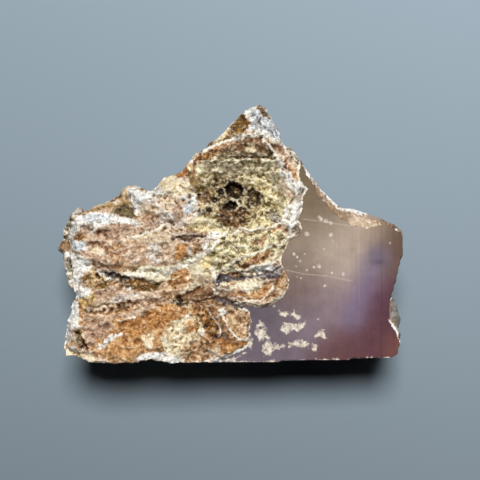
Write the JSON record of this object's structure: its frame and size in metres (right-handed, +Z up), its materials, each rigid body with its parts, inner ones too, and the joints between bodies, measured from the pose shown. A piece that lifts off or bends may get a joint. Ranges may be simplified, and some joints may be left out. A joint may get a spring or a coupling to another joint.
{
  "type": "chalcedony specimen",
  "caption": "Broken hand specimen of violet-grey chalcedony with one sawn face and a rough iron-stained rind, lying on a small flat spot.",
  "frame": {"origin": "on the resting flat's plane, under the middle of the stone's box", "axes": "+Z up out of the resting flat, +X along the stone's long side to the right of the sawn face, -Y towards the straight sawn wall that the face leans to"},
  "size_m": [0.1114, 0.0811, 0.0443],
  "materials": {
    "stone": "rough stained rind with a smooth satin sawn face"
  },
  "bodies": {
    "root": {"chalcedony": "stone"}
  },
  "joints": []
}
